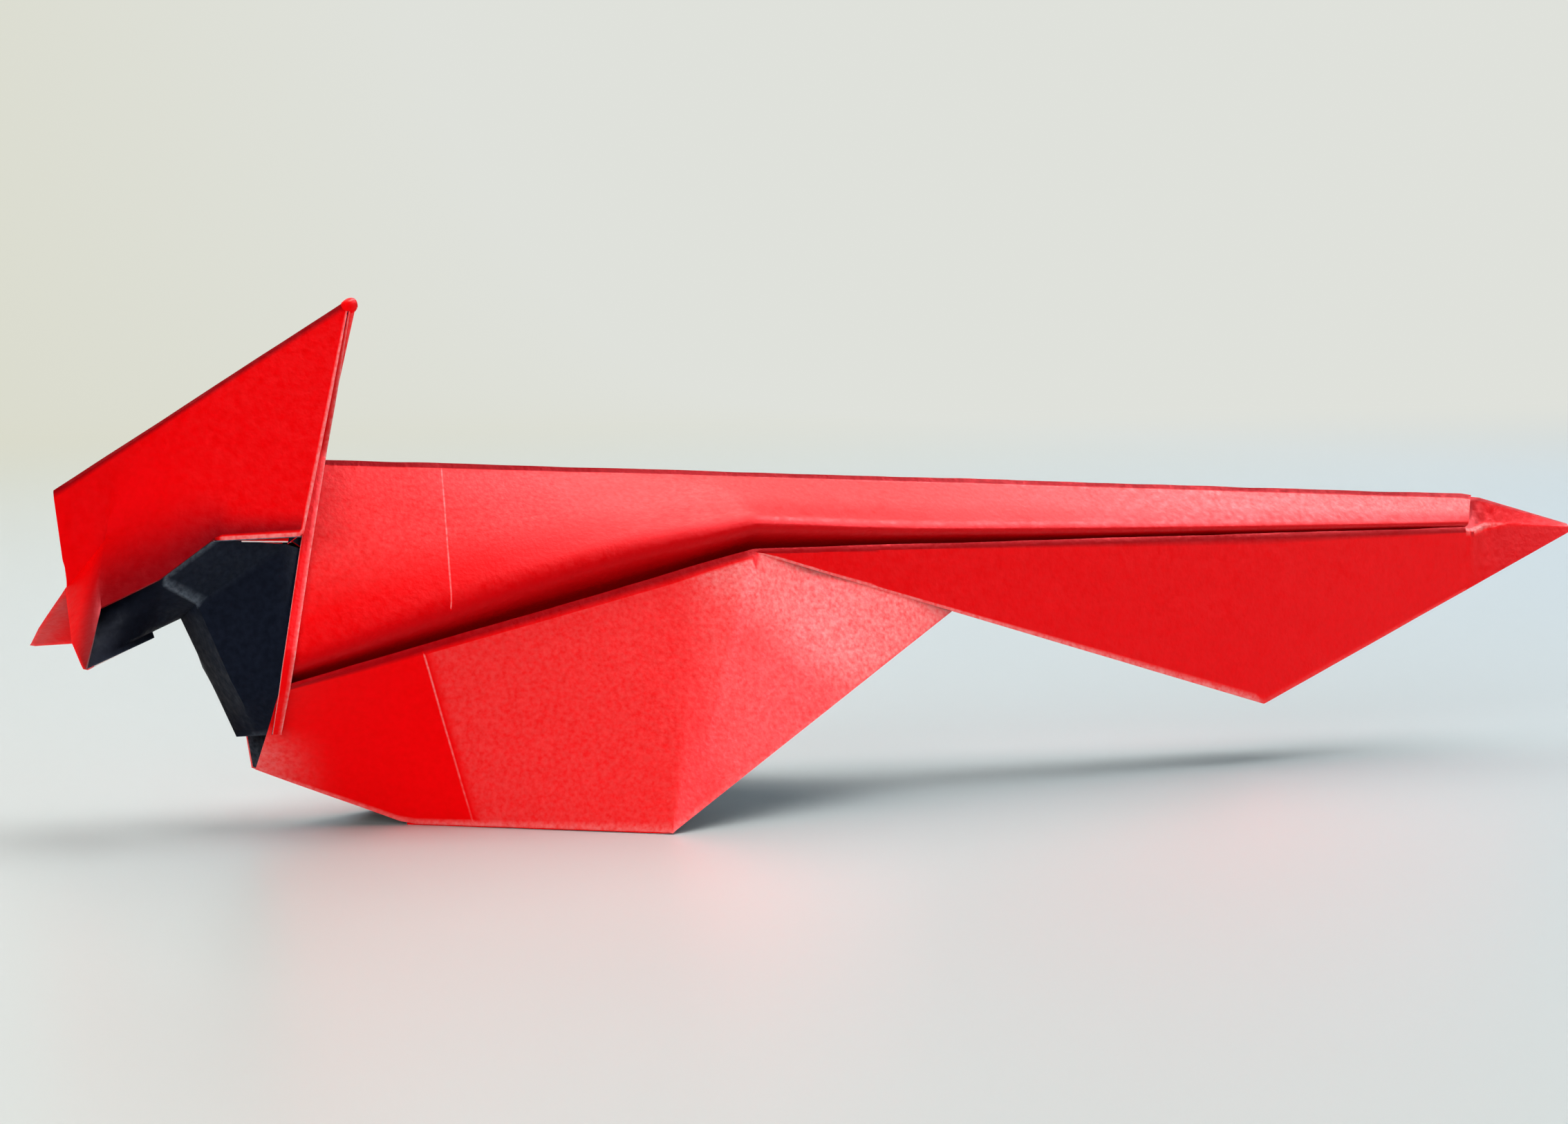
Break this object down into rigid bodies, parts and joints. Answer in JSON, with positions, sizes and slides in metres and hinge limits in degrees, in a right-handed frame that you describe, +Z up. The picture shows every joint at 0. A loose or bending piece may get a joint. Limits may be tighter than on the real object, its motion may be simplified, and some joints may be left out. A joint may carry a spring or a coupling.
{
  "type": "origami cardinal",
  "caption": "Bird folded from one square of two-coloured paper, with a crested hood, split beak, black mask, flared belly and long tail.",
  "frame": {"origin": "on the table under the bird, on its mid plane, halfway from beak to tail tip", "axes": "+X from beak to tail tip, +Y to the bird's far side in the picture, +Z up"},
  "size_m": [0.1722, 0.0422, 0.0502],
  "materials": {
    "paper": "thin two-coloured paper, red outside and black inside, satin, with worn folds and a white core at its cut edges"
  },
  "bodies": {
    "root": {"folded_sheet": "paper"}
  },
  "joints": []
}
